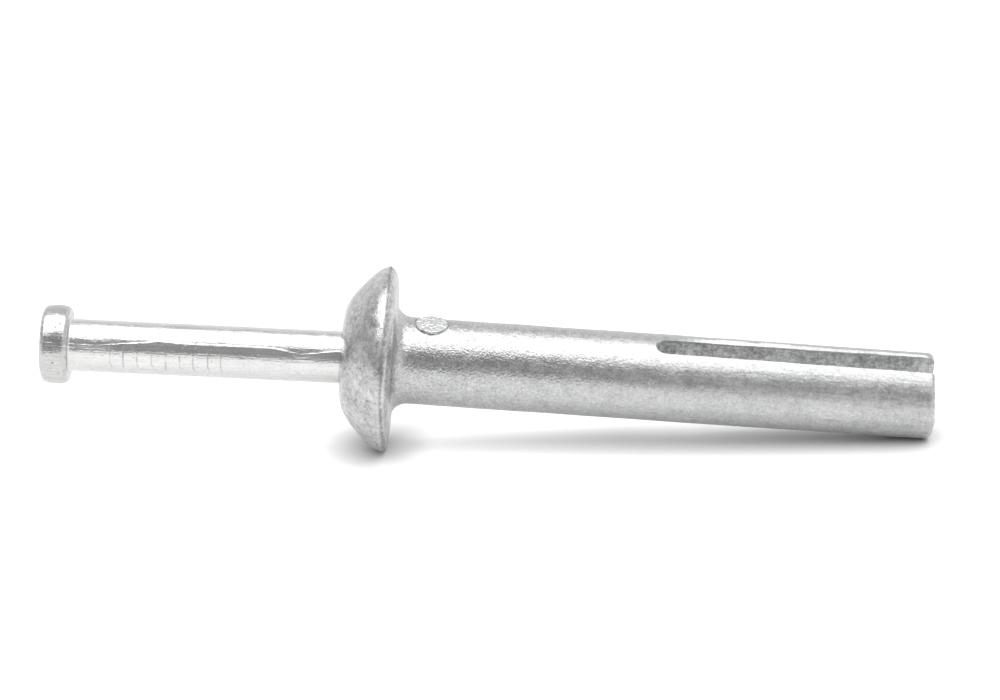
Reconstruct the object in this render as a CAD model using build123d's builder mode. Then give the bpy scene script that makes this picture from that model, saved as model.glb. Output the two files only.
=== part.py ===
"""Hammer drive anchor: a die-cast zinc body with a mushroom head, and the steel pin that drives it.

The anchor lies on the rim of its head and on the edge of its tip. Along the anchor, lengths are
counted from the bearing face under the head, towards the tip. All sizes are in millimetres.
"""

from build123d import *

import os
from math import atan2, cos, radians, sin, tan

# ---- Casting: shank ----
under_head_length = 38.1  # bearing face to tip, the inch-and-a-half size
shank_r = 6.15 / 2  # for a quarter-inch hole, 6.35 across
shank_tip_r = 6.04 / 2  # drafted from the start of the slots, so that the casting leaves its die
tip_chamfer = 0.4
under_head_fillet = 1.15

# ---- Casting: mushroom head ----
head_r = 13.1 / 2
head_height = 3.75  # bearing face to crown
crown_flat_r = 1.85
brim_edge = 0.57  # bearing face to the line where the parts of the die shut
brim_land = 0.15  # full-diameter band just above that line
brim_step = 0.08  # the die is this much smaller on the shank side
brim_curve = 1.4  # its underside curves over this far in from the rim

# ---- Casting: expansion slots, one on each side of the shank ----
slot_start = 18.4
slot_start_width = 1.45  # across the mouth of the slot
slot_tip_width = 1.55
slot_draft = 5  # degrees on each wall, so that the core draws out sideways
slot_floor_corner = 0.4
web_thickness = 2.5  # left between the two slots, for the pin to split
slot_roll = radians(25)  # from straight up, turned towards the front

# ---- Casting: pad left by the die's ejector ----
ejector_r = 1.15
ejector_at = 2.4
ejector_height = 3.09  # its flat face, from the axis
ejector_roll = radians(12)  # from straight up, turned towards the front

# ---- Drive pin ----
pin_r = 3.7 / 2
pin_head_r = 5.6 / 2
pin_head_thickness = 2.0
pin_head_round = 0.4  # round its struck face
pin_head_bevel = 0.2  # round its underside
pin_head_barrel = 0.07  # how far the side of the head swells
pin_face_crown = 0.12  # how far the struck face is domed
pin_neck = 0.15  # the sloped corner under its head
pin_stand = 19.2  # crown to the underside of the pin's head: the hammer's stroke
pin_point_length = 0.9
pin_point_r = 1.1

pin_entered = 11.3  # crown to its point, before it is driven
pin_lean = radians(1.3)  # it hangs down at its head, as far as its play in the bore allows

# ---- Bore: ends just past the start of the slots ----
bore_mouth_chamfer = 0.12
bore_overrun = 1.0  # how far it opens into the slots
bore_end_chamfer = 0.6

# ---- Places along the anchor ----
crown_at = -head_height
pin_underside_at = crown_at - pin_stand
pin_face_at = pin_underside_at - pin_head_thickness
pin_point_at = crown_at + pin_entered
pin_side_r = pin_head_r - pin_head_barrel  # at the two corners of its head
brim_low_r = head_r - brim_step
bearing_face_r = brim_low_r - brim_curve
bore_end_at = slot_start + bore_overrun

# The leaning pin touches the bore below at the mouth, and above where its point begins.
mouth_contact_at = crown_at + bore_mouth_chamfer
inner_contact_at = pin_point_at - pin_point_length
pin_pivot_at = (mouth_contact_at + inner_contact_at) / 2
bore_r = pin_r / cos(pin_lean) + (inner_contact_at - pin_pivot_at) * tan(pin_lean)

# ---- How it lies: on the lower edge of the brim and on the outer edge of the tip's chamfer ----
tilt = atan2(head_r - shank_tip_r, under_head_length - tip_chamfer + brim_edge)
axis_height = head_r * cos(tilt) - brim_edge * sin(tilt)

pin_tilt = tilt - pin_lean

# The lowest corner of the pin's head and the highest of the tip are the two ends, across the floor.
pin_corner_r = pin_side_r - pin_head_round
pin_corner_at = pin_face_at + pin_face_crown * (pin_corner_r / pin_side_r) ** 2 + pin_head_round
pin_corner_reach = (pin_corner_at - pin_pivot_at) * cos(pin_tilt) - pin_corner_r * sin(pin_tilt)
left_end = pin_pivot_at * cos(tilt) + pin_corner_reach - pin_head_round
right_end = under_head_length * cos(tilt) + (shank_tip_r - tip_chamfer) * sin(tilt)

along = Vector(cos(tilt), 0, -sin(tilt))
upright = Vector(sin(tilt), 0, cos(tilt))
front = Vector(0, -1, 0)
bearing_centre = Vector(-(left_end + right_end) / 2, 0, axis_height)
anchor_axis = Axis(bearing_centre, along)
slot_direction = upright * cos(slot_roll) + front * sin(slot_roll)
ejector_direction = upright * cos(ejector_roll) + front * sin(ejector_roll)

# Half-sections are drawn through a slot: X runs along the anchor, Y is the distance from its axis.
section_plane = Plane(origin=bearing_centre, x_dir=along, z_dir=along.cross(slot_direction))

# The pin's own axis crosses the anchor's at the pivot; its lengths are counted on the same scale.
pin_along = Vector(cos(pin_tilt), 0, -sin(pin_tilt))
pin_origin = bearing_centre + (along - pin_along) * pin_pivot_at
pin_axis = Axis(pin_origin, pin_along)
pin_plane = Plane(origin=pin_origin, x_dir=pin_along, z_dir=front)


def side_plane(direction):
    """A plane through the axis that faces the given way: X runs along the anchor."""
    return Plane(origin=bearing_centre, x_dir=along, z_dir=direction)


def slot_core(direction):
    """The die's core that leaves one slot: round where it starts, wider outwards and to the tip."""
    floor_inset = (shank_r - web_thickness / 2) * tan(radians(slot_draft))
    half_start = slot_start_width / 2 - floor_inset
    half_tip = slot_tip_width / 2 - floor_inset
    round_start = slot_start + floor_inset
    past_tip = under_head_length + 1
    with BuildPart() as core:
        with BuildSketch(side_plane(direction).offset(web_thickness / 2)):
            with BuildLine():
                near = Line((round_start + half_start, -half_start), (past_tip, -half_tip))
                end = Line(near @ 1, (past_tip, half_tip))
                far = Line(end @ 1, (round_start + half_start, half_start))
                ThreePointArc(far @ 1, (round_start, 0), near @ 0)
            make_face()
        extrude(amount=shank_r, taper=-slot_draft)
        slot_floor = core.faces().sort_by(Axis(bearing_centre, direction))[0]
        chamfer(slot_floor.edges(), slot_floor_corner)
    return core.part


slot_cores = [slot_core(direction) for direction in (slot_direction, -slot_direction)]

os.makedirs("parts", exist_ok=True)

# ---- The casting ----
with BuildPart() as anchor_body:
    # Mushroom head and shank, turned about the axis.
    with BuildSketch(section_plane):
        with BuildLine():
            crown = Line((crown_at, 0), (crown_at, crown_flat_r))
            dome = TangentArc(crown @ 1, (-brim_edge - brim_land, head_r), tangent=(0, 1))
            brim = Polyline(dome @ 1, (-brim_edge, head_r), (-brim_edge, brim_low_r))
            curve = EllipticalCenterArc(
                (-brim_edge, bearing_face_r), brim_edge, brim_curve, 90, arc_size=-90
            )
            underside = FilletPolyline(
                curve @ 1,
                (0, shank_r),
                (slot_start, shank_r),
                radius=under_head_fillet,
            )
            Polyline(
                underside @ 1,
                (under_head_length - tip_chamfer, shank_tip_r),
                (under_head_length, shank_tip_r - tip_chamfer),
                (under_head_length, 0),
                crown @ 0,
            )
        make_face()
    revolve(axis=anchor_axis)

    # The ejector's pad stands proud of the shank, close behind the head.
    with BuildSketch(side_plane(ejector_direction).offset(shank_r - 0.8)):
        with Locations((ejector_at, 0)):
            Circle(ejector_r)
    extrude(amount=ejector_height - shank_r + 0.8)

    # Bore for the pin, chamfered where it enters the crown.
    with BuildSketch(section_plane):
        with BuildLine():
            Polyline(
                (crown_at, 0),
                (crown_at, bore_r + bore_mouth_chamfer),
                (crown_at + bore_mouth_chamfer, bore_r),
                (bore_end_at - bore_end_chamfer, bore_r),
                (bore_end_at, bore_r - bore_end_chamfer),
                (bore_end_at, 0),
                close=True,
            )
        make_face()
    revolve(axis=anchor_axis, mode=Mode.SUBTRACT)

    # Slots, cut from both sides down to the web.
    for core in slot_cores:
        add(core, mode=Mode.SUBTRACT)

anchor_body.part.label = "anchor_body"
export_step(anchor_body.part, "parts/anchor_body.step")

# ---- The drive pin ----
with BuildPart() as drive_pin:
    with BuildSketch(pin_plane) as pin_section:
        with BuildLine():
            side_start = (pin_face_at + pin_face_crown, pin_side_r)
            side_end = (pin_underside_at, pin_side_r)
            face = TangentArc((pin_face_at, 0), side_start, tangent=(0, 1))
            rim = SagittaArc(side_start, side_end, pin_head_barrel)
            shank = Polyline(
                rim @ 1,
                (pin_underside_at, pin_r + pin_neck),
                (pin_underside_at + pin_neck, pin_r),
                (pin_point_at - pin_point_length, pin_r),
                (pin_point_at, pin_point_r),
                (pin_point_at, 0),
            )
            Line(shank @ 1, face @ 0)
        make_face()
        face_corner, underside_corner = pin_section.vertices().sort_by(Axis.Y)[-2:].sort_by(Axis.X)
        fillet(face_corner, pin_head_round)
        chamfer(underside_corner, pin_head_bevel)
    revolve(axis=pin_axis)

drive_pin.part.label = "drive_pin"
export_step(drive_pin.part, "parts/drive_pin.step")
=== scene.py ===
from math import atan2, cos, pi, radians, sin, tan

import bmesh
import bpy
import numpy as np
from mathutils import Matrix, Vector


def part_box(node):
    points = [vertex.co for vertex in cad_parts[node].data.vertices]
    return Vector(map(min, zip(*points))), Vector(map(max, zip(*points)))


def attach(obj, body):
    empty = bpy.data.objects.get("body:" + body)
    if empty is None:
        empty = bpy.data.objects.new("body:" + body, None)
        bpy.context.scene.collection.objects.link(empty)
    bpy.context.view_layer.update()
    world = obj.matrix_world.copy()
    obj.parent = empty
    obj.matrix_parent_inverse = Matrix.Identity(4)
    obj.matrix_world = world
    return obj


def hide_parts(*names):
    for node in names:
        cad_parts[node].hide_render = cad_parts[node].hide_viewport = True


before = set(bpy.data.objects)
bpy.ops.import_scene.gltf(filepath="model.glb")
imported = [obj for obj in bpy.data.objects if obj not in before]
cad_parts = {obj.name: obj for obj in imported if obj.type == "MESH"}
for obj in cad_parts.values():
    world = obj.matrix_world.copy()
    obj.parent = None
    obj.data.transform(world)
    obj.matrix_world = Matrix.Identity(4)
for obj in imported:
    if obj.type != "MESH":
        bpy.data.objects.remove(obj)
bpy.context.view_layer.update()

# A hammer drive anchor: a die-cast zinc body with a mushroom head, and the steel pin that drives it.
# Each piece is a closed mesh that replaces its solid. Lengths along the anchor are counted from the
# bearing face under the head, towards the tip. The sizes are in millimetres, and the main ones are
# those of the solids. The small forms, such as seams, lips and marks, are only here.
MM = 0.001

# ---- Casting: shank ----
LENGTH = 38.1  # bearing face to tip
SHANK_R = 3.075
TIP_R = 3.02
TIP_CHAMFER = 0.4  # the solid's, on whose edge the tip rests
TIP_ROUND = 0.42  # here in its place
FILLET = 1.15  # under the head
SEAM_HEIGHT = 0.022  # where the parts of the die meet, along the shank
SEAM_WIDTH = 0.07  # from its middle to where it fades out
END_SEAM_HEIGHT = 0.035  # the same across the end
END_SEAM_WIDTH = 0.09
OUT_OF_ROUND = 0.07  # how far the slotted half has sprung
OUT_OF_SQUARE = 0.02  # the slope of its end

# ---- Casting: mushroom head ----
HEAD_R = 6.55
HEAD_H = 3.75
CROWN_FLAT_R = 1.85
BRIM_EDGE = 0.57  # the line where the parts of the die shut
BRIM_LAND = 0.15
BRIM_STEP = 0.08
BRIM_CURVE = 1.4
EDGE_SHIFT = 0.3  # how much nearer to the bearing face that line runs below

# ---- Casting: expansion slots ----
SLOT_START = 18.4
SLOT_START_W = 1.45
SLOT_TIP_W = 1.55
SLOT_DRAFT = radians(5)
SLOT_CORNER = 0.3  # rounded here, and chamfered in the solid
SLOT_ROLL = radians(25)  # from straight up, turned towards the front
WEB = 2.5
LIP_AT = 2.93  # the slots' walls end here, from the axis
LIP_W = 0.06  # and a narrow slope leads out to the shank's skin
LIP_STEPS = ((0.3, 0.012), (0.65, 0.03), (1, 0.05), (1.5, 0.1), (1.9, 0.3))  # out, in LIP_W; and up
LIP_DROP = 0.07  # how much lower it is at the tip
RAISED_EDGE = 0.155  # along one side of each slot
CORE_OVERRUN = 0.8  # how far the slots' cores reach past the tip

# ---- Casting: pad left by the die's ejector ----
EJECTOR_R = 1.15
EJECTOR_AT = 2.54  # 2.4 in the solid
EJECTOR_H = 3.09
EJECTOR_ROLL = radians(12)
EJECTOR_ROOT = 0.9  # how far the pad reaches down into the shank
EJECTOR_EDGE = 0.05  # the slope round its face
GROOVE_R = 0.075  # of the bead that presses a groove round the pad

# ---- Drive pin ----
PIN_R = 1.85
PIN_HEAD_R = 2.8
PIN_HEAD_T = 2.0
PIN_HEAD_ROUND = 0.4
PIN_HEAD_BEVEL = 0.2
PIN_BARREL = 0.07
PIN_FACE_CROWN = 0.12
PIN_NECK = 0.15
PIN_STAND = 19.2
PIN_ENTERED = 11.3
PIN_POINT_L = 0.9
PIN_POINT_R = 1.1
PIN_LEAN = radians(1.3)
# the lap rolled into the wire: how far below the head, and its angle from the top towards the front
LAP_AT = (-2.2, 2, 6.5, 8, 14.4, 16.5, 19.5)
LAP_ANGLE = (71, 73, 57, 60, 60, 72, 59)
LAP_HEIGHT = 0.02
GRIPS = 9  # marks on each side of the wire, from the clamp that held it while the head was struck
GRIP_FIRST = 3.0  # below the head
GRIP_PITCH = 0.985
GRIP_DEPTH = 0.022

# ---- Bore ----
BORE_CHAMFER = 0.12
BORE_END_CHAMFER = 0.6
BORE_END_R = 1.2  # the flat of its blind end
BORE_OVERRUN = 1.0

# ---- Places along the anchor ----
CROWN_AT = -HEAD_H
PIN_UNDER_AT = CROWN_AT - PIN_STAND
PIN_FACE_AT = PIN_UNDER_AT - PIN_HEAD_T
PIN_POINT_AT = CROWN_AT + PIN_ENTERED
BORE_END_AT = SLOT_START + BORE_OVERRUN
# the leaning pin touches the bore below at the mouth, and above where its point begins
PIN_PIVOT_AT = (CROWN_AT + BORE_CHAMFER + PIN_POINT_AT - PIN_POINT_L) / 2
BORE_R = PIN_R / cos(PIN_LEAN) + (PIN_POINT_AT - PIN_POINT_L - PIN_PIVOT_AT) * tan(PIN_LEAN)

# ---- Levels of the metals ----
ZINC_GREY = 0.60
ZINC_ROUGH = 0.30
ZINC_WARMTH = -0.004
STEEL_GREY = 0.80
STEEL_ROUGH = 0.19
STEEL_WARMTH = 0.004

# ---- Floor, light and world, in metres and watts ----
FLOOR_HALF = 1.5
FLOOR_GREY = 0.48
FLOOR_GREY_FALLOFF_SHADE = 0.25  # painted shade on the floor in front of the sheet's edge, for light falling off far from the lamps, which only the metal sees
FLOOR_GLOW = 0.72  # for the camera
FLOOR_GLOW_MIRRORED = 0.40
SHADE_FALLOFF_EDGE = (-0.075, -0.045)  # the sheet fades in from that painted shade between these places, front to back
PAINTED_SHADOW_REACH = 0.0035  # things closer than this dim the floor's glow: a painted contact shadow
WORLD_FRONT = 0.32
WORLD_BACK = 0.95
WORLD_LEFT = 0.24  # added towards each side
WORLD_RIGHT = 0.42
SOFTBOX_SIZE = (1.3, 0.78)
SOFTBOX_POWER = 5.6
SOFTBOX_AT = (0, -0.08, 0.62)
FILL_SIZE = (0.4, 0.4)
FILL_POWER = 1.5
FILL_AT = (0, -0.45, 0.4)
FILL_TURN = radians(48)

# ---- Camera, in metres ----
CAMERA_AT = (0.010615, -0.272054, 0.091996)
CAMERA_RIGHT = Vector((0.99923, 0.02664, -0.02874))
CAMERA_LOOK = Vector((-0.03401, 0.95395, -0.29802))
CAMERA_LENS = 145.43  # millimetres, on a sensor 36 wide

# ---- The anchor's own axes in the shared frame ----
# it rests on the lower edge of its rim and on the edge of its tip
tilt = atan2(HEAD_R - TIP_R, LENGTH - TIP_CHAMFER + BRIM_EDGE)
along = Vector((cos(tilt), 0, -sin(tilt)))
front = Vector((0, -1, 0))
# the far corner of the tip is at the end of the solid's box
_, body_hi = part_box("anchor_body")
bearing_centre = Vector((
    body_hi.x / MM - LENGTH * cos(tilt) - (TIP_R - TIP_CHAMFER) * sin(tilt),
    0,
    HEAD_R * cos(tilt) - BRIM_EDGE * sin(tilt),
))
pin_along = Vector((cos(tilt - PIN_LEAN), 0, -sin(tilt - PIN_LEAN)))
pin_origin = bearing_centre + (along - pin_along) * PIN_PIVOT_AT


def placed(origin, axis, turn):
    """Local X along the axis, local Y turned from straight up towards the front, local Z across."""
    up = front.cross(axis).normalized()
    out = up * cos(turn) + front * sin(turn)
    across = axis.cross(out)
    return Matrix((
        (axis.x, out.x, across.x, origin.x * MM),
        (axis.y, out.y, across.y, origin.y * MM),
        (axis.z, out.z, across.z, origin.z * MM),
        (0, 0, 0, 1),
    ))


BODY_PLACE = placed(bearing_centre, along, SLOT_ROLL)  # local Y comes out of the upper slot
PIN_PLACE = placed(pin_origin, pin_along, 0)


# ---- Noise and ramps for the shapes ----
class Noise:
    """Smooth noise in three dimensions, about -1 to 1, the same on each run."""

    cells = 32  # it repeats after this many

    def __init__(self, seed):
        self.table = np.random.default_rng(seed).uniform(-1, 1, (self.cells,) * 3)

    def one(self, p):
        cell = np.floor(p).astype(int)
        f = p - cell
        f = f * f * f * (f * (f * 6 - 15) + 10)
        out = np.zeros(len(p))
        for i in (0, 1):
            for j in (0, 1):
                for k in (0, 1):
                    weight = (f[:, 0] if i else 1 - f[:, 0]) * (f[:, 1] if j else 1 - f[:, 1])
                    weight = weight * (f[:, 2] if k else 1 - f[:, 2])
                    corner = (cell + (i, j, k)) % self.cells
                    out += weight * self.table[corner[:, 0], corner[:, 1], corner[:, 2]]
        return out

    def __call__(self, p, size, octaves=1, stretch=(1, 1, 1)):
        q = p / size / np.array(stretch, float)
        out, total = np.zeros(len(p)), 0.0
        for o in range(octaves):
            out += self.one(q * 2 ** o + 7.3 * o) / 2 ** o
            total += 1 / 2 ** o
        return out / total


def smooth(x, a, b):
    """From 0 at a to 1 at b."""
    t = np.clip((x - a) / (b - a), 0, 1)
    return t * t * (3 - 2 * t)


def bell(x, width):
    return np.exp(-(x / width) ** 2)


def angle_gap(a, b):
    return np.abs((a - b + pi) % (2 * pi) - pi)


# ---- Profiles and meshes ----
def circle(count):
    """Angles evenly round a circle."""
    return np.arange(count) * 2 * pi / count


def arc(centre, r, a0, a1, n):
    """Points along an arc, from one angle to another in degrees."""
    points = []
    for i in range(n + 1):
        a = radians(a0 + (a1 - a0) * i / n)
        points.append((centre[0] + r * cos(a), centre[1] + r * sin(a)))
    return points


def fill(points, step):
    """Adds points between neighbours, about a step apart (a number, or a function of the place)."""
    out = [points[0]]
    for a, b in zip(points, points[1:]):
        a, b = np.array(a, float), np.array(b, float)
        gap = float(np.hypot(*(b - a)))
        if gap < 1e-7:
            continue
        t = 0.0
        while t < gap - 1e-9:
            p = a + (b - a) * t / gap
            h = step(p) if callable(step) else step
            t = gap if t + 1.5 * h > gap else t + h
            out.append(tuple(a + (b - a) * t / gap))
    return out


def vertex_normals(v, faces):
    n = np.zeros_like(v)
    for size in (3, 4):
        f = np.array([f for f in faces if len(f) == size])
        if not len(f):
            continue
        if size == 4:
            m = np.cross(v[f[:, 2]] - v[f[:, 0]], v[f[:, 3]] - v[f[:, 1]])
        else:
            m = np.cross(v[f[:, 1]] - v[f[:, 0]], v[f[:, 2]] - v[f[:, 0]])
        for i in range(size):
            np.add.at(n, f[:, i], m)
    return n / np.maximum(np.linalg.norm(n, axis=1, keepdims=True), 1e-12)


def turned(profile, angles):
    """A closed surface of revolution about X: vertices, faces and normals.

    The profile is a list of places along and distances out, and starts and ends on the axis.
    """
    prof = np.array(profile)
    inner = prof[1:-1]
    columns = len(angles)
    s = np.repeat(inner[:, 0], columns)
    r = np.repeat(inner[:, 1], columns)
    th = np.tile(angles, len(inner))
    v = np.stack([s, r * np.cos(th), r * np.sin(th)], 1)
    first, last = len(v), len(v) + 1
    v = np.vstack([v, [prof[0][0], 0, 0], [prof[-1][0], 0, 0]])
    k = np.arange(columns)
    k2 = (k + 1) % columns
    quads = []
    for i in range(len(inner) - 1):
        a = i * columns
        quads.append(np.stack([a + k, a + columns + k, a + columns + k2, a + k2], 1))
    top = (len(inner) - 1) * columns
    caps = [(first, int(i), int(j)) for i, j in zip(k, k2)]
    caps += [(last, int(top + j), int(top + i)) for i, j in zip(k, k2)]
    faces = np.vstack(quads).tolist() + caps
    n = vertex_normals(v, faces)
    end = np.argmax(v[:, 0])
    if n[end][0] < 0:
        faces = [tuple(reversed(f)) for f in faces]
        n = -n
    return v, faces, n


def make_object(name, v, faces, place):
    mesh = bpy.data.meshes.new(name)
    mesh.from_pydata((v * MM).tolist(), [], faces)
    mesh.transform(place)
    mesh.update()
    obj = bpy.data.objects.new(name, mesh)
    bpy.context.scene.collection.objects.link(obj)
    return obj


def shade(obj, sharp_degrees):
    obj.data.shade_smooth()
    obj.data.set_sharp_from_angle(angle=radians(sharp_degrees))


# ---- The casting ----
def body_profile():
    """From the blind end of the bore, out over the mushroom head and along the shank to the tip."""
    dome_h = HEAD_H - BRIM_EDGE - BRIM_LAND
    dome_w = HEAD_R - CROWN_FLAT_R
    dome_r = (dome_h ** 2 + dome_w ** 2) / (2 * dome_h)
    # the dome starts square to the axis at the edge of the flat crown
    centre = (CROWN_AT + dome_r, CROWN_FLAT_R)
    end_angle = np.degrees(np.arctan2(HEAD_R - centre[1], CROWN_AT + dome_h - centre[0]))
    dome = arc(centre, dome_r, 180, end_angle, 60)
    # the brim's edge steps in by BRIM_STEP, and its underside curves to the bearing face
    low = HEAD_R - BRIM_STEP
    brim = [
        (-BRIM_EDGE - 0.08, HEAD_R),
        (-BRIM_EDGE - 0.01, HEAD_R - 0.02),
        (-BRIM_EDGE + 0.05, low),
    ]
    for a in np.linspace(0.22, pi / 2, 13):
        brim.append((-BRIM_EDGE * (1 - sin(a)), low - BRIM_CURVE * (1 - cos(a))))
    under = arc((FILLET, SHANK_R + FILLET), FILLET, 180, 270, 16)
    tip = arc((LENGTH - TIP_ROUND, TIP_R - TIP_ROUND), TIP_ROUND, 90, 0, 8)
    bore = [
        (BORE_END_AT, 0),
        (BORE_END_AT, BORE_END_R),
        (BORE_END_AT - BORE_END_CHAMFER, BORE_R),
        (CROWN_AT + BORE_CHAMFER, BORE_R),
        (CROWN_AT, BORE_R + BORE_CHAMFER),
    ]

    def step(p):
        in_bore = p[1] < BORE_R + 0.01 and CROWN_AT + 0.3 < p[0] < BORE_END_AT + 0.1
        if in_bore:
            return 1.2
        return 0.11 if p[0] < 3.0 else 0.15

    return fill(bore + dome + brim + under + [(SLOT_START, SHANK_R)] + tip + [(LENGTH, 0)], step)


def casting_relief(v, r):
    """How far the casting's skin stands off its plain shape, at each vertex."""
    lumps, grain, burr = Noise(3), Noise(11), Noise(29)
    s = v[:, 0]
    th = np.arctan2(v[:, 2], v[:, 1])
    # lumps and grain, more on the head, and long flow marks along the shank
    shank_part = smooth(s, 0.6, 2.0)
    d = 0.014 * lumps(v, 2.2, 2) + 0.004 * grain(v, 0.45, 2)
    d += (1 - shank_part) * (0.026 * lumps(v + 9, 2.9, 2) + 0.012 * grain(v + 4, 0.6, 2))
    d += smooth(s, 6, 30) * 0.005 * lumps(v, 0.35, 2, stretch=(9, 1, 1))
    # the dome is a little hollow between its middle and its rim
    dome_part = s < -BRIM_EDGE - 0.1
    hollow = 0.05 * bell(r - 3.6, 0.6) - 0.09 * bell(r - 5.3, 0.65) + 0.03 * bell(r - 6.35, 0.2)
    d += dome_part * hollow
    # the two seams of the die, a quarter turn from the slots, meet in a line across the end
    seam = np.minimum(angle_gap(th, pi / 2), angle_gap(th, -pi / 2)) * r
    on_shank = smooth(s, 1.1, 1.6) * (r > SHANK_R * 0.5)
    d += on_shank * SEAM_HEIGHT * bell(seam, SEAM_WIDTH) * (0.7 + 0.5 * burr(v, 0.9, 2))
    end_face = smooth(s, LENGTH - 0.06, LENGTH - 0.01)
    d += end_face * END_SEAM_HEIGHT * bell(v[:, 1] + 0.05 * burr(v + 7, 1.3, 2), END_SEAM_WIDTH)
    # metal that crept between the parts of the die along the slots' edges
    half_slot = np.interp(s, (SLOT_START, LENGTH), (SLOT_START_W / 2, SLOT_TIP_W / 2))
    edge = np.abs(np.abs(v[:, 2]) - half_slot)
    slotted = smooth(s, SLOT_START - 0.1, SLOT_START + 0.6) * (r > SHANK_R * 0.85)
    creep = 0.004 + 0.016 * np.clip(burr(v, 0.5, 2, stretch=(1.6, 1, 1)), 0, 1)
    d += slotted * bell(edge, 0.1) * creep
    # on one side of each slot it stands up to a raised edge
    out_z = -v[:, 2] * np.sign(v[:, 1])
    raised = np.clip((out_z - 0.7) / 0.36, 0, 1) * (1 - smooth(out_z, 1.06, 1.3))
    raised *= smooth(s, SLOT_START, SLOT_START + 4) * (1 - smooth(s, LENGTH - 0.7, LENGTH - 0.3))
    d += slotted * raised * (RAISED_EDGE + 0.02 * burr(v + 2, 1.2, 2, stretch=(2, 1, 1)))
    # the slotted half has sprung a little out of round, low at the front
    d += on_shank * smooth(s, 10, 26) * OUT_OF_ROUND * np.cos(2 * th - radians(190))
    # the rim is not quite even
    rim = bell(s + BRIM_EDGE, 0.45) * (r > HEAD_R - 0.7)
    d += rim * (0.03 * burr(v, 1.7, 2) + 0.012 * grain(v, 0.4, 2))
    return d


def plain_body():
    """The casting with its bore and its uneven skin, before its slots are cut."""
    v, faces, n = turned(body_profile(), circle(216))
    r = np.hypot(v[:, 1], v[:, 2])
    outside = (r > BORE_R + 0.2) | (v[:, 0] > BORE_END_AT)
    v = v + n * (casting_relief(v, r) * outside)[:, None]
    # the end isn't quite square: it is longer below
    height = v[:, 1] * cos(SLOT_ROLL) - v[:, 2] * sin(SLOT_ROLL)
    v[:, 0] -= smooth(v[:, 0], LENGTH - 2, LENGTH) * OUT_OF_SQUARE * height
    # and the trimmed edge of the head runs nearer to its flat face below
    on_edge = bell(v[:, 0] + BRIM_EDGE, 0.4) * smooth(r, HEAD_R - 1.0, HEAD_R - 0.2)
    v[:, 0] += EDGE_SHIFT * smooth(-height, 0.5, 5.5) * on_edge
    return make_object("cast_body", v, faces, BODY_PLACE)


def core_outline():
    """Half of the core's outline at the slot's floor: round where it starts, then out to the tip."""
    floor_inset = (SHANK_R - WEB / 2) * tan(SLOT_DRAFT)
    half_start = SLOT_START_W / 2 - floor_inset
    half_tip = SLOT_TIP_W / 2 - floor_inset
    start = SLOT_START + floor_inset
    nose = []
    for a in np.linspace(0, pi / 2, 9):
        nose.append((start + half_start - half_start * cos(a), half_start * sin(a)))
    end = (LENGTH + CORE_OVERRUN, half_tip)
    line = fill([(start + half_start, half_start), end], 0.14)[1:]
    return np.array(nose + line)


def core_levels():
    """Insets from that outline, and heights: a round corner, the drafted wall, and the lip."""
    floor_at = WEB / 2
    levels = []
    for a in np.linspace(0, pi / 2, 5):
        levels.append((SLOT_CORNER * (1 - sin(a)), floor_at + SLOT_CORNER * (1 - cos(a))))
    for h in np.linspace(floor_at + SLOT_CORNER + 0.12, LIP_AT, 10):
        levels.append((-(h - floor_at - SLOT_CORNER) * tan(SLOT_DRAFT), h))
    wall = levels[-1][0]
    for share, rise in LIP_STEPS:
        levels.append((wall - LIP_W * share, LIP_AT + rise))
    return levels


def core_rings():
    """The core's walls: rings of points from the floor up, round the nose and open at the tip."""
    near = core_outline()
    tangent = np.gradient(near, axis=0)
    tangent /= np.linalg.norm(tangent, axis=1, keepdims=True)
    out = np.stack([-tangent[:, 1], tangent[:, 0]], 1)
    out[0] = (-1, 0)
    rings = []
    for inset, h in core_levels():
        p = near - out * inset
        p[:, 1] = np.maximum(p[:, 1], 0)
        p[0, 1] = 0
        ring = np.vstack([p[1:][::-1] * (1, -1), p])
        rings.append(np.column_stack([ring[:, 0], np.full(len(ring), h), ring[:, 1]]))
    return rings


def closed_core():
    """The core as a closed mesh: its walls, its floor and lid in strips, and one flat end."""
    rings = core_rings()
    top = len(rings) - 1
    width = len(rings[0])
    nose = width // 2
    v = np.vstack(rings)
    faces = []
    for a in range(0, top * width, width):
        b = a + width
        faces += [(a + k, a + k + 1, b + k + 1, b + k) for k in range(width - 1)]
    # floor and lid: strips across, from the nose to the tip end
    across = 8
    extra, ends = [], []
    for level, flip in ((0, False), (top, True)):
        middle = level * width + nose
        rows = [[middle]]
        for k in range(1, nose + 1):
            left, right = middle - k, middle + k
            row = [left]
            for j in range(1, across):
                row.append(len(v) + len(extra))
                extra.append(v[left] + (v[right] - v[left]) * j / across)
            rows.append(row + [right])
        for ra, rb in zip(rows, rows[1:]):
            if len(ra) == 1:
                strip = [(ra[0], rb[j + 1], rb[j]) for j in range(across)]
            else:
                strip = [(ra[j], ra[j + 1], rb[j + 1], rb[j]) for j in range(across)]
            faces += [tuple(reversed(f)) for f in strip] if flip else strip
        ends.append(rows[-1])
    v = np.vstack([v, extra])
    n = vertex_normals(v, faces)
    # the end beyond the tip is one flat face
    lefts = [i * width for i in range(1, top)]
    rights = [i * width + width - 1 for i in range(1, top)]
    faces.append(tuple(ends[0] + rights + ends[1][::-1] + lefts[::-1]))
    return v, faces, n


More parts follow.
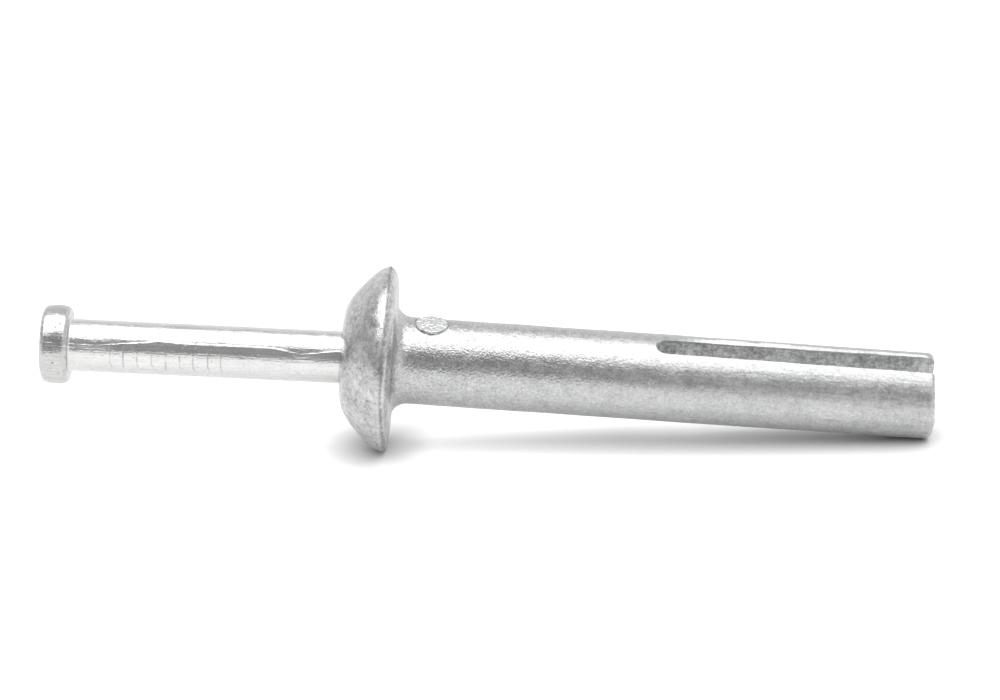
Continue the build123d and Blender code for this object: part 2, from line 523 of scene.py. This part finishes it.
def slot_core(name, side, seed):
    """The die's core for one slot, with rough walls."""
    noise = Noise(seed)
    v, faces, n = closed_core()
    # the lip follows the shank as it narrows to the tip
    v[:, 1] -= smooth(v[:, 1], 2.0, LIP_AT) * LIP_DROP * smooth(v[:, 0], SLOT_START, LENGTH)
    # the walls are rough, less so towards the lip
    rough = 0.05 * noise(v, 0.7, 3) + 0.02 * noise(v + 5, 0.25, 2)
    cutting = (v[:, 0] < LENGTH + CORE_OVERRUN - 0.3) * (v[:, 1] < LIP_AT + 0.2)
    cutting = cutting * (1 - 0.6 * smooth(v[:, 1], LIP_AT - 0.3, LIP_AT))
    v = v + n * (rough * cutting)[:, None]
    if side < 0:
        v = v * (1, -1, -1)
    return make_object(name, v, faces, BODY_PLACE)


def ejector_tools():
    """The ejector's round pad, with its rough flat face, and the bead for the groove round it."""
    place = placed(bearing_centre, along, EJECTOR_ROLL)
    rough = Noise(17)
    columns, sides = 96, 8
    profile = fill([
        (EJECTOR_H - EJECTOR_ROOT, 0),
        (EJECTOR_H - EJECTOR_ROOT, EJECTOR_R),
        (EJECTOR_H - EJECTOR_EDGE, EJECTOR_R),
        (EJECTOR_H, EJECTOR_R - 0.06),
        (EJECTOR_H, 0),
    ], 0.065)
    v, faces, _ = turned(profile, circle(columns))
    top = smooth(v[:, 0], EJECTOR_H - 0.06, EJECTOR_H)
    v[:, 0] += top * (0.05 * rough(v, 0.34, 2) + 0.035 * rough(v + 3, 0.14, 1) - 0.012)
    v = np.stack([v[:, 1] + EJECTOR_AT, v[:, 0], -v[:, 2]], 1)
    pad = make_object("ejector_pad", v, faces, place)
    # the bead follows the shank's surface round the pad
    around = np.repeat(circle(columns), sides)
    section = np.tile(circle(sides), columns)
    reach = EJECTOR_R + 0.02 + GROOVE_R * np.cos(section)
    x, z = reach * np.cos(around), reach * np.sin(around)
    y = np.sqrt(SHANK_R ** 2 - z ** 2) + GROOVE_R * np.sin(section)
    y += 0.012 * rough(np.stack([x, z, section], 1), 0.5, 2)
    k = np.arange(columns * sides)
    i, j = k // sides, k % sides
    i2, j2 = (i + 1) % columns, (j + 1) % sides
    faces = np.stack([i * sides + j, i * sides + j2, i2 * sides + j2, i2 * sides + j], 1).tolist()
    bead = make_object("ejector_bead", np.stack([x + EJECTOR_AT, y, z], 1), faces, place)
    return pad, bead


def outward(obj):
    """Turns the faces of a closed mesh to face outwards."""
    bm = bmesh.new()
    bm.from_mesh(obj.data)
    bmesh.ops.recalc_face_normals(bm, faces=bm.faces)
    bm.to_mesh(obj.data)
    bm.free()


def combine(target, tool, operation):
    outward(tool)
    modifier = target.modifiers.new(tool.name, "BOOLEAN")
    modifier.operation = operation
    modifier.solver = "MANIFOLD"
    modifier.object = tool


def drop_slivers(obj):
    """Closes up the slivers that the cuts leave, and deletes what comes loose with them."""
    smallest_gap, smallest_edge = 0.003 * MM, 0.001 * MM
    bm = bmesh.new()
    bm.from_mesh(obj.data)
    bmesh.ops.remove_doubles(bm, verts=bm.verts, dist=smallest_gap)
    bmesh.ops.dissolve_degenerate(bm, edges=bm.edges, dist=smallest_edge)
    doubled = [f for f in bm.faces if sum(len(e.link_faces) == 2 for e in f.edges) < 2]
    bmesh.ops.delete(bm, geom=doubled, context="FACES")
    bmesh.ops.delete(bm, geom=[e for e in bm.edges if e.is_wire], context="EDGES")
    bm.to_mesh(obj.data)
    bm.free()


def cast_body():
    """The whole casting: its slots are cut, and the ejector's pad is added in its groove."""
    body = plain_body()
    pad, bead = ejector_tools()
    tools = [slot_core("core_a", 1, 41), slot_core("core_b", -1, 43), bead, pad]
    for tool in tools:
        combine(body, tool, "UNION" if tool is pad else "DIFFERENCE")
    bpy.context.view_layer.update()
    evaluated = body.evaluated_get(bpy.context.evaluated_depsgraph_get())
    cut_mesh = bpy.data.meshes.new_from_object(evaluated)
    body.modifiers.clear()
    body.data = cut_mesh
    drop_slivers(body)
    for tool in tools:
        bpy.data.objects.remove(tool)
    shade(body, 38)
    return body


# ---- The pin ----
def pin_profile():
    """From the middle of the struck face, over the head and along the wire to the blunt point."""
    side_r = PIN_HEAD_R - PIN_BARREL
    face = []
    for x in np.linspace(0, side_r - PIN_HEAD_ROUND, 14):
        face.append((PIN_FACE_AT + PIN_FACE_CROWN * (x / side_r) ** 2, x))
    corner_at = PIN_FACE_AT + PIN_FACE_CROWN + PIN_HEAD_ROUND
    corner = arc((corner_at, side_r - PIN_HEAD_ROUND), PIN_HEAD_ROUND, 180, 92, 10)[1:]
    rim = []
    for t in np.linspace(0, 1, 12):
        at = corner_at + (PIN_UNDER_AT - PIN_HEAD_BEVEL - corner_at) * t
        rim.append((at, side_r + PIN_BARREL * 4 * t * (1 - t)))
    underside = [
        (PIN_UNDER_AT, side_r - PIN_HEAD_BEVEL),
        (PIN_UNDER_AT, PIN_R + PIN_NECK),
        (PIN_UNDER_AT + PIN_NECK, PIN_R),
    ]
    wire = [(PIN_POINT_AT - PIN_POINT_L, PIN_R), (PIN_POINT_AT, PIN_POINT_R), (PIN_POINT_AT, 0)]
    grips_from = PIN_UNDER_AT + GRIP_FIRST

    def step(p):
        if p[0] > CROWN_AT + 0.5:
            return 0.9
        if grips_from - 0.4 < p[0] < grips_from + GRIPS * GRIP_PITCH:
            return 0.045
        return 0.09 if p[0] < PIN_UNDER_AT + 0.5 else 0.14

    return fill(face + corner + rim + underside + wire, step)


def grip_marks(v, th, below, noise):
    """How deep the clamp's marks are, as a share of GRIP_DEPTH, and how much painted shade darkens
    the wire in them.

    Each crosses one side of the wire, bends a little at both ends, and fades in places.
    """
    depth, marks = np.zeros(len(v)), np.zeros(len(v))
    draws = np.random.default_rng(23)
    for k in range(GRIPS):
        for side in (0, pi):
            at = GRIP_FIRST + k * GRIP_PITCH + draws.uniform(-0.04, 0.04)
            turn = (np.degrees(th - side) + 180) % 360 - 180
            hook = draws.uniform(-0.02, 0.22)
            line = at + 0.15 * (1 - smooth(turn, 62, 84)) + hook * smooth(turn, 108, 126)
            mark = draws.uniform(0.5, 1.1) * smooth(turn, 55, 62) * (1 - smooth(turn, 118, 130))
            mark = mark * smooth(noise(v + 11 * k, 0.35, 2), -0.7, 0.1)
            depth += mark * bell(below - line, 0.055)
            marks = np.maximum(marks, mark * bell(below - line, 0.045))
    return depth, marks


def headed_pin():
    """The pin, with its uneven head, the lap along the wire, and the marks of the grips."""
    # the columns stand closer where the lap runs
    angles = np.radians(np.concatenate([np.arange(50, 82, 0.9), np.arange(82, 410, 2.6)]))
    v, faces, n = turned(pin_profile(), angles)
    noise = Noise(5)
    r = np.hypot(v[:, 1], v[:, 2])
    th = np.arctan2(v[:, 2], v[:, 1])
    below = v[:, 0] - PIN_UNDER_AT
    visible = v[:, 0] < CROWN_AT + 0.3
    side_face = r > PIN_R * 0.97
    head = below < 0.02
    d = 0.006 * noise(v, 1.6, 3) + 0.0025 * noise(v, 0.4, 2, stretch=(6, 1, 1))
    d += head * 0.026 * noise(v + 3, 1.1, 3)
    lap = (th - np.radians(np.interp(below, LAP_AT, LAP_ANGLE))) * r + 0.03 * noise(v + 6, 0.5, 2)
    d += side_face * LAP_HEIGHT * smooth(lap, -0.1, 0) * (1 - smooth(lap, 0, 0.28))
    depth, marks = grip_marks(v, th, below, noise)
    d -= side_face * GRIP_DEPTH * depth
    # a burr round the underside of the head, heaviest on top
    heaviest = (0.6 + 0.4 * np.cos(th)) * (1 + noise(v + 8, 0.6, 2))
    d += head * 0.035 * bell(below, 0.1) * (r > PIN_HEAD_R - 0.3) * heaviest
    pin = make_object("headed_pin", v + n * (d * visible)[:, None], faces, PIN_PLACE)
    # the second share is painted shade in the marks' grooves, stored for the steel's colour
    stored = pin.data.attributes.new("marks", "FLOAT", "POINT")
    stored.data.foreach_set("value", (side_face * marks).astype(np.float32))
    shade(pin, 50)
    return pin


# ---- Materials ----
class Nodes:
    """A node tree, built from values and sockets."""

    def __init__(self, tree):
        self.tree = tree
        tree.nodes.clear()

    def add(self, kind, inputs=None, **settings):
        node = self.tree.nodes.new(kind)
        for key, value in settings.items():
            setattr(node, key, value)
        for key, value in (inputs or {}).items():
            if isinstance(value, bpy.types.NodeSocket):
                self.tree.links.new(value, node.inputs[key])
            else:
                node.inputs[key].default_value = value
        return node

    def math(self, operation, a, b=0.0):
        return self.add("ShaderNodeMath", {0: a, 1: b}, operation=operation).outputs[0]

    def total(self, *values):
        out = values[0]
        for value in values[1:]:
            out = self.math("ADD", out, value)
        return out

    def scaled(self, a, b):
        return self.math("MULTIPLY", a, b)

    def length(self, a, b):
        return self.math("SQRT", self.total(self.scaled(a, a), self.scaled(b, b)))

    def noise(self, at, scale, detail=2.0, roughness=0.5, stretch=None):
        """Noise from 0 to 1 over a place in millimetres; scale is in features to the millimetre."""
        if stretch:
            stretched = self.add("ShaderNodeVectorMath", {0: at, 1: stretch}, operation="MULTIPLY")
            at = stretched.outputs[0]
        inputs = {"Vector": at, "Scale": scale, "Detail": detail, "Roughness": roughness}
        return self.add("ShaderNodeTexNoise", inputs).outputs[0]

    def even_noise(self, *settings, **stretch):
        """The same noise, from -0.5 to 0.5."""
        return self.total(self.noise(*settings, **stretch), -0.5)

    def step(self, value, a, b, low=0.0, high=1.0):
        """From low, where the value is a, smoothly to high, where it is b."""
        inputs = {"Value": value, "From Min": a, "From Max": b, "To Min": low, "To Max": high}
        return self.add("ShaderNodeMapRange", inputs, interpolation_type="SMOOTHSTEP").outputs[0]

    def place(self, origin, matrix):
        """The place in the piece's own axes, in millimetres: whole, and its three parts."""
        own = self.add("ShaderNodeMapping", {
            "Vector": self.add("ShaderNodeTexCoord").outputs["Object"],
            "Location": tuple(origin * MM),
            "Rotation": tuple(matrix.to_euler()),
            "Scale": (MM, MM, MM),
        }, vector_type="TEXTURE").outputs[0]
        x, y, z = self.add("ShaderNodeSeparateXYZ", {0: own}).outputs
        return own, x, y, z

    def metal(self, grey, warmth, roughness, height):
        """A bare metal; grey, roughness and height, in millimetres, may be sockets."""
        colour = self.add("ShaderNodeCombineColor", {
            0: self.scaled(grey, 1 + warmth),
            1: grey,
            2: self.scaled(grey, 1 - warmth),
        }).outputs[0]
        bump = self.add("ShaderNodeBump", {"Strength": 1.0, "Distance": MM, "Height": height})
        shader = self.add("ShaderNodeBsdfPrincipled", {
            "Base Color": colour,
            "Metallic": 1.0,
            "Roughness": roughness,
            "Normal": bump.outputs[0],
        }).outputs[0]
        self.add("ShaderNodeOutputMaterial", {0: shader})


def new_material(name):
    material = bpy.data.materials.new(name)
    material.use_nodes = True
    return material, Nodes(material.node_tree)


def trim_and_shade_band(t, x, y, z, coarse, fine):
    """1 on the line where the head's flash was cut off, which is rougher and gets painted shade;
    lower down it is wider, painting the dark reflection of the shaded underside, and shifted.
    """
    height = t.total(t.scaled(y, cos(SLOT_ROLL)), t.scaled(z, -sin(SLOT_ROLL)))
    low = t.step(height, -0.5, -5.5)
    shifted = t.total(x, BRIM_EDGE + 0.03, t.scaled(low, -EDGE_SHIFT - 0.04), t.scaled(coarse, 0.3))
    off_line = t.total(t.math("ABSOLUTE", shifted), t.scaled(low, -0.06))
    band = t.scaled(t.step(off_line, 0.02, 0.14, 1.0, 0.0), t.step(fine, -0.25, 0.1, 0.3, 1.0))
    return t.scaled(band, t.step(t.length(y, z), HEAD_R - 0.35, HEAD_R - 0.2))


def end_seam_painted_shade(t, x, y, coarse):
    """1 on the seam of the die across the end, where a line of painted shade runs along its ridge."""
    off_seam = t.math("ABSOLUTE", t.total(y, t.scaled(coarse, 0.12)))
    on_end = t.step(x, LENGTH - 0.08, LENGTH - 0.04)
    return t.scaled(t.step(off_seam, 0.03, 0.07, 1.0, 0.0), on_end)


def pad_face(t, x, y, z):
    """1 on the face of the ejector's pad."""
    turn = EJECTOR_ROLL - SLOT_ROLL
    beside = t.total(x, -EJECTOR_AT)
    across = t.total(t.scaled(z, cos(turn)), t.scaled(y, -sin(turn)))
    out = t.total(t.scaled(y, cos(turn)), t.scaled(z, sin(turn)))
    disc = t.step(t.length(beside, across), EJECTOR_R - 0.03, EJECTOR_R + 0.03, 1.0, 0.0)
    return t.scaled(disc, t.step(out, 2.8, 2.9))


def zinc():
    """Die-cast zinc: a satin, grainy skin with flow marks, duller along the line where its flash was
    cut off; painted shade darkens that line and the seam across the end.
    """
    material, t = new_material("cast_zinc")
    own, x, y, z = t.place(bearing_centre, BODY_PLACE)
    shank = t.step(x, -1.0, 0.8)
    head = t.total(1.0, t.scaled(shank, -1.0))
    near_head = t.step(x, 3.0, 20.0, 1.0, 0.2)
    tipward = t.step(x, 4.0, 34.0)

    fine = t.even_noise(own, 5.5, 3.0, 0.65)
    coarse = t.even_noise(own, 2.4, 3.0, 0.55)
    cloud = t.even_noise(own, 0.6, 3.0, 0.6)
    streak = t.even_noise(own, 5.0, 3.0, 0.6, stretch=(0.09, 1, 1))
    grain = t.even_noise(own, 6.5, 1.0)
    skin = t.even_noise(own, 7.0, 1.0, 0.5)
    blotch = t.step(t.noise(own, 1.1, 4.0, 0.65), 0.48, 0.68)

    trim_and_shade = trim_and_shade_band(t, x, y, z, coarse, fine)
    seam_line_shade = end_seam_painted_shade(t, x, y, coarse)
    pad = pad_face(t, x, y, z)
    within = t.step(t.length(y, z), SHANK_R - 0.3, SHANK_R - 0.15, 1.0, 0.0)
    in_slot = t.scaled(within, t.step(x, SLOT_START - 0.5, SLOT_START))

    uneven = t.total(0.12, t.scaled(cloud, 0.5), t.scaled(coarse, 0.7), t.scaled(fine, 0.6))
    grey = t.total(
        ZINC_GREY,
        t.scaled(cloud, 0.16),
        t.scaled(coarse, 0.20),
        t.scaled(fine, 0.50),
        t.scaled(blotch, -0.05),
        t.scaled(streak, t.scaled(tipward, 0.22)),
        # painted shade on the cut line of the head's flash, and lower down the dark reflection of the
        # shaded underside
        t.scaled(trim_and_shade, -0.26),
        # painted shade along the seam across the end
        t.scaled(seam_line_shade, -0.28),
        t.scaled(in_slot, uneven),
        t.scaled(grain, t.total(t.scaled(near_head, 0.42), t.scaled(head, -0.12))),
        t.scaled(head, t.total(t.scaled(cloud, 0.35), t.scaled(coarse, 0.35))),
        t.scaled(pad, 0.15),
    )
    roughness = t.total(
        ZINC_ROUGH,
        t.scaled(head, -0.05),
        t.scaled(tipward, 0.11),
        t.scaled(coarse, 0.16),
        t.scaled(cloud, 0.12),
        t.scaled(streak, 0.12),
        t.scaled(blotch, 0.05),
        t.scaled(trim_and_shade, 0.2),
        t.scaled(in_slot, 0.16),
        t.scaled(pad, 0.08),
    )
    on_shank = t.scaled(shank, t.step(x, 5.0, 24.0, 0.019, 0.003))
    skin_depth = t.total(0.014, on_shank, t.scaled(pad, 0.02))
    relief = t.total(
        t.scaled(skin, skin_depth),
        t.scaled(coarse, t.step(x, 5.0, 22.0, 0.03, 0.015)),
        t.scaled(streak, t.scaled(tipward, 0.014)),
        t.scaled(t.noise(own, 4.5, 1.0), t.scaled(pad, 0.075)),
    )
    t.metal(grey, ZINC_WARMTH, roughness, relief)
    return material


def steel():
    """Bright plated wire: drawn lengthwise, a little scuffed, darker and more specked on the head,
    with painted shade in the grip marks.
    """
    material, t = new_material("plated_steel")
    own, x, _, _ = t.place(pin_origin, PIN_PLACE)
    drawn = t.even_noise(own, 7.0, 3.0, 0.6, stretch=(0.06, 1, 1))
    fine = t.even_noise(own, 6.0, 2.0, 0.5)
    cloud = t.even_noise(own, 0.9, 3.0, 0.6)
    head = t.step(x, PIN_UNDER_AT + 0.02, PIN_UNDER_AT + 0.06, 1.0, 0.0)
    speck = t.step(t.noise(own, 3.4, 2.0, 0.6), 0.65, 0.70)
    speck = t.scaled(speck, t.total(0.4, t.scaled(head, 0.6)))
    grip_mark_shade = t.add("ShaderNodeAttribute", attribute_name="marks").outputs["Fac"]
    grey = t.total(
        STEEL_GREY,
        t.scaled(cloud, 0.16),
        t.scaled(drawn, 0.24),
        t.scaled(fine, 0.16),
        t.scaled(speck, -0.35),
        # painted shade in the grip marks
        t.scaled(grip_mark_shade, -0.34),
        t.scaled(head, -0.16),
    )
    roughness = t.total(
        STEEL_ROUGH,
        t.scaled(cloud, 0.12),
        t.scaled(drawn, 0.14),
        t.scaled(speck, 0.25),
        t.scaled(grip_mark_shade, 0.2),
    )
    relief = t.total(
        t.scaled(fine, 0.014),
        t.scaled(drawn, 0.022),
        t.scaled(t.noise(own, 1.6, 2.0), 0.02),
        t.scaled(speck, -0.01),
    )
    t.metal(grey, STEEL_WARMTH, roughness, relief)
    return material


def pale_floor():
    """A grey floor that glows for the camera and in mirrors, less where something is close to it,
    which paints a contact shadow there.
    """
    material, t = new_material("pale_floor")
    rays = t.add("ShaderNodeLightPath").outputs
    # the metal sees the sheet end a little way in front, where the camera no longer looks; the darker
    # grey beyond is painted shade for light falling off far from the lamps
    coord = t.add("ShaderNodeTexCoord").outputs["Object"]
    _, y, _ = t.add("ShaderNodeSeparateXYZ", {0: coord}).outputs
    unshaded_floor = t.math("MAXIMUM", t.step(y, *SHADE_FALLOFF_EDGE), rays["Is Camera Ray"])
    grey = t.total(FLOOR_GREY_FALLOFF_SHADE, t.scaled(unshaded_floor, FLOOR_GREY - FLOOR_GREY_FALLOFF_SHADE))
    # painted contact shadow: occlusion dims the glow near the anchor, for the camera and in mirrors
    occlusion = t.add("ShaderNodeAmbientOcclusion", {"Distance": PAINTED_SHADOW_REACH}, samples=8)
    open_sky = t.math("POWER", occlusion.outputs["AO"], 1.5)
    seen = t.math("MAXIMUM", rays["Is Camera Ray"], rays["Is Transmission Ray"])
    mirrored = t.scaled(t.math("SQRT", open_sky), FLOOR_GLOW_MIRRORED)
    glow = t.total(
        t.scaled(t.scaled(seen, open_sky), FLOOR_GLOW),
        t.scaled(t.scaled(rays["Is Glossy Ray"], unshaded_floor), mirrored),
    )
    colour = t.add("ShaderNodeCombineColor", {0: grey, 1: grey, 2: grey}).outputs[0]
    shader = t.add("ShaderNodeAddShader", {
        0: t.add("ShaderNodeBsdfDiffuse", {"Color": colour}).outputs[0],
        1: t.add("ShaderNodeEmission", {"Strength": glow}).outputs[0],
    }).outputs[0]
    t.add("ShaderNodeOutputMaterial", {0: shader})
    return material


# ---- The two pieces ----
body = cast_body()
pin = headed_pin()
body.data.materials.clear()
body.data.materials.append(zinc())
pin.data.materials.append(steel())
for piece, node, slot in ((body, "anchor_body", "zinc_body"), (pin, "drive_pin", "steel_pin")):
    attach(piece, "root")
    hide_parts(node)

# ---- Floor ----
floor_mesh = bpy.data.meshes.new("floor")
corners = [(x * FLOOR_HALF, y * FLOOR_HALF, 0) for x, y in ((-1, -1), (1, -1), (1, 1), (-1, 1))]
floor_mesh.from_pydata(corners, [], [(0, 1, 2, 3)])
floor_mesh.materials.append(pale_floor())
floor = bpy.data.objects.new("floor", floor_mesh)
bpy.context.scene.collection.objects.link(floor)

# ---- World: brighter to the back and at the sides, and white for the camera ----
world = bpy.data.worlds.new("studio")
bpy.context.scene.world = world
world.use_nodes = True
t = Nodes(world.node_tree)
direction = t.add("ShaderNodeTexCoord").outputs["Generated"]
toward_right, toward_back, _ = t.add("ShaderNodeSeparateXYZ", {0: direction}).outputs
level = t.total(
    t.add("ShaderNodeMapRange", {
        "Value": toward_back,
        "From Min": 0.36,
        "From Max": 1.0,
        "To Min": WORLD_FRONT,
        "To Max": WORLD_BACK,
    }).outputs[0],
    t.step(toward_right, -0.2, -0.9, 0.0, WORLD_LEFT),
    t.step(toward_right, 0.2, 0.9, 0.0, WORLD_RIGHT),
)
level = t.math("MAXIMUM", level, t.add("ShaderNodeLightPath").outputs["Is Camera Ray"])
t.add("ShaderNodeOutputWorld", {0: t.add("ShaderNodeBackground", {"Color": level}).outputs[0]})


# ---- Lamps ----
def area_lamp(name, size, power, location, turn=0.0):
    """A rectangular lamp that faces down, or further to the back when it is turned about X."""
    lamp = bpy.data.lights.new(name, "AREA")
    lamp.shape = "RECTANGLE"
    lamp.size, lamp.size_y = size
    lamp.energy = power
    lamp_object = bpy.data.objects.new(name, lamp)
    bpy.context.scene.collection.objects.link(lamp_object)
    lamp_object.location = location
    lamp_object.rotation_euler = (turn, 0, 0)
    return lamp_object


area_lamp("softbox", SOFTBOX_SIZE, SOFTBOX_POWER, SOFTBOX_AT)
# a weaker one in front, for the floor alone: the metal would mirror it
fill_lamp = area_lamp("fill", FILL_SIZE, FILL_POWER, FILL_AT, FILL_TURN)
fill_lamp.visible_glossy = False

# ---- Camera ----
camera = bpy.data.objects.new("camera", bpy.data.cameras.new("camera"))
bpy.context.scene.collection.objects.link(camera)
look = CAMERA_LOOK.normalized()
up = CAMERA_RIGHT.normalized().cross(look).normalized()
right = look.cross(up)
camera.matrix_world = Matrix((
    (right.x, up.x, -look.x, CAMERA_AT[0]),
    (right.y, up.y, -look.y, CAMERA_AT[1]),
    (right.z, up.z, -look.z, CAMERA_AT[2]),
    (0, 0, 0, 1),
))
camera.data.sensor_width = 36
camera.data.lens = CAMERA_LENS
camera.data.clip_start = 0.01
camera.data.clip_end = 10
bpy.context.scene.camera = camera
bpy.context.scene.view_settings.view_transform = "Standard"
